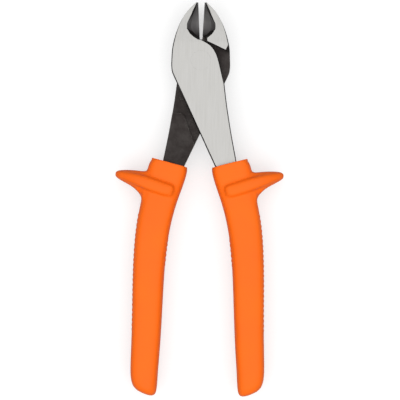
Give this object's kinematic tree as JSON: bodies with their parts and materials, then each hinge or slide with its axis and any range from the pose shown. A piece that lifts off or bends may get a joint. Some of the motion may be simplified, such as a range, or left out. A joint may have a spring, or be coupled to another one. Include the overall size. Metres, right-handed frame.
{
  "type": "diagonal cutting pliers",
  "caption": "High-leverage diagonal cutting pliers: lap-jointed levers on a flush rivet, bevelled cutting jaws and insulated grips with finger guards.",
  "frame": {"origin": "on the rivet's axis, at the head's flat back face", "axes": "+Y along the tool towards the cutting jaws, +Z out of the head's front face along the rivet, +X to the right of the front face"},
  "size_m": [0.0872, 0.2051, 0.0207],
  "materials": {
    "ground_steel": "ground and polished bright, fine marks along the tool",
    "forged_steel": "forged, hardened and blackened, ground bright on the jaw and the outer face",
    "rivet_steel": "headed in its countersinks and ground flush",
    "undercoat": "smooth white bonded coat",
    "grip_core": "soft moulded body",
    "grip_skin": "tough orange skin, satin, with a moulded texture on its outer side"
  },
  "bodies": {
    "back_half": {"back_lever": "forged_steel", "pivot_rivet": "rivet_steel", "left_undercoat": "undercoat", "left_grip_cushion": "grip_core", "left_grip_skin": "grip_skin"},
    "front_half": {"front_lever": "ground_steel", "right_undercoat": "undercoat", "right_grip_cushion": "grip_core", "right_grip_skin": "grip_skin"}
  },
  "joints": [
    {"name": "pivot", "type": "hinge", "parent": "back_half", "child": "front_half", "pos_m": [0, 0, 0.00625], "axis": [0, 0, 1], "range_deg": [-6, 24]}
  ]
}
